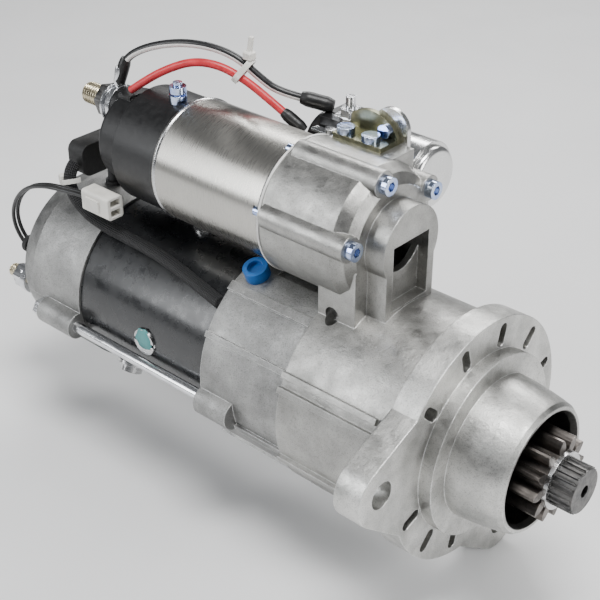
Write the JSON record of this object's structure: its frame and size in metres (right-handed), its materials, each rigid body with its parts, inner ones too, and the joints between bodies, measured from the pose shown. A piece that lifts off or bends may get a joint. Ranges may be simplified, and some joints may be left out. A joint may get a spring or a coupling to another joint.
{
  "type": "gear reduction starter motor",
  "caption": "Flange-mounted engine starter motor with planetary reduction, overrunning pinion, shift solenoid and piggyback relay.",
  "frame": {"origin": "centre of the mounting flange face, on the motor axis", "axes": "+X along the motor axis out of the pinion end, +Z towards the solenoid, +Y to the relay side"},
  "size_m": [0.363, 0.1517, 0.2319],
  "materials": {
    "cast_aluminium": "satin cast",
    "bright_aluminium": "machined",
    "black_paint": "gloss black enamel",
    "steel": "machined",
    "dark_steel": "hardened, oiled",
    "zinc": "bright zinc plate",
    "yellow_zinc": "yellow zinc plate",
    "copper": "copper",
    "iron": "laminated iron",
    "black_plastic": "moulded",
    "blue_plastic": "moulded",
    "white_plastic": "moulded",
    "rubber": "moulded",
    "carbon": "sintered carbon",
    "red_wire": "insulation",
    "black_wire": "insulation",
    "braid": "braided sleeve"
  },
  "bodies": {
    "housing": {"blue_plug": "blue_plastic", "brush_holder": "steel", "brush_springs": "steel", "brushes": "carbon", "cable_ties": "white_plastic", "center_bracket": "cast_aluminium", "drive_housing": "cast_aluminium", "field_coils": "copper", "field_frame": "black_paint", "gear_housing": "cast_aluminium", "grommets": "rubber", "ground_terminal": "zinc", "harness_loom": "braid", "lever_pin": "steel", "motor_lead": "rubber", "nose_bearing": "steel", "nose_seal": "rubber", "partition_plate": "steel", "pole_screws": "steel", "pole_shoes": "iron", "rear_end_cap": "cast_aluminium", "relay_base": "black_plastic", "relay_bracket": "yellow_zinc", "relay_can": "bright_aluminium", "relay_strap": "bright_aluminium", "relay_terminals": "zinc", "return_spring": "steel", "ring_gear": "black_plastic", "shaft_bushes": "copper", "small_screws": "zinc", "solenoid_can": "steel", "solenoid_cap": "black_plastic", "solenoid_coil": "copper", "solenoid_core": "steel", "solenoid_gasket": "white_plastic", "terminal_nuts": "zinc", "terminal_studs": "copper", "thermostat_leads": "black_wire", "thermostat_plug": "white_plastic", "through_bolts": "zinc", "wire_black": "black_wire", "wire_red": "red_wire", "wire_sleeves": "rubber"},
    "armature": {"armature_shaft": "steel", "armature_core": "iron", "armature_winding": "copper", "commutator": "copper"},
    "carrier": {"output_shaft": "steel"},
    "planet_1": {"planet_gear_1": "steel"},
    "planet_2": {"planet_gear_2": "steel"},
    "planet_3": {"planet_gear_3": "steel"},
    "drive": {"clutch_shell": "dark_steel", "clutch_rollers": "steel"},
    "pinion": {"pinion_sleeve": "dark_steel", "pinion_gear": "dark_steel", "pinion_stop_ring": "steel"},
    "lever": {"shift_lever": "black_plastic"},
    "plunger": {"plunger": "steel", "contact_rod": "copper"},
    "relay_armature": {"relay_plunger": "steel"}
  },
  "joints": [
    {"name": "armature_spin", "type": "hinge", "parent": "housing", "child": "armature", "pos_m": [-0.17, 0, 0], "axis": [1, 0, 0], "continuous": true},
    {"name": "carrier_spin", "type": "hinge", "parent": "housing", "child": "carrier", "pos_m": [-0.09, 0, 0], "axis": [1, 0, 0], "continuous": true},
    {"name": "planet_1_spin", "type": "hinge", "parent": "carrier", "child": "planet_1", "pos_m": [-0.104, 0.02363, 0], "axis": [1, 0, 0], "continuous": true},
    {"name": "planet_2_spin", "type": "hinge", "parent": "carrier", "child": "planet_2", "pos_m": [-0.104, -0.01181, 0.02046], "axis": [1, 0, 0], "continuous": true},
    {"name": "planet_3_spin", "type": "hinge", "parent": "carrier", "child": "planet_3", "pos_m": [-0.104, -0.01181, -0.02046], "axis": [1, 0, 0], "continuous": true},
    {"name": "drive_slide", "type": "slide", "parent": "carrier", "child": "drive", "axis": [1, 0, 0], "range_m": [0, 0.017]},
    {"name": "pinion_overrun", "type": "hinge", "parent": "drive", "child": "pinion", "pos_m": [0, 0, 0], "axis": [1, 0, 0], "continuous": true},
    {"name": "lever_tilt", "type": "hinge", "parent": "housing", "child": "lever", "pos_m": [-0.0685, 0, 0.0515], "axis": [0, -1, 0], "range_deg": [0, 18.8]},
    {"name": "plunger_slide", "type": "slide", "parent": "housing", "child": "plunger", "axis": [-1, 0, 0], "range_m": [0, 0.0115], "deforming": ["return_spring"]},
    {"name": "relay_slide", "type": "slide", "parent": "housing", "child": "relay_armature", "axis": [-1, 0, 0], "range_m": [0, 0.002], "stiffness_N_per_m": 400, "springref_m": -0.004}
  ],
  "couplings": [
    {"joint": "carrier_spin", "follows": "armature_spin", "ratio": 0.22222},
    {"joint": "planet_1_spin", "follows": "armature_spin", "ratio": -0.62222},
    {"joint": "planet_2_spin", "follows": "armature_spin", "ratio": -0.62222},
    {"joint": "planet_3_spin", "follows": "armature_spin", "ratio": -0.62222},
    {"joint": "lever_tilt", "follows": "drive_slide", "rad_per_m": 19.2},
    {"joint": "plunger_slide", "follows": "drive_slide", "ratio": 0.6723}
  ]
}
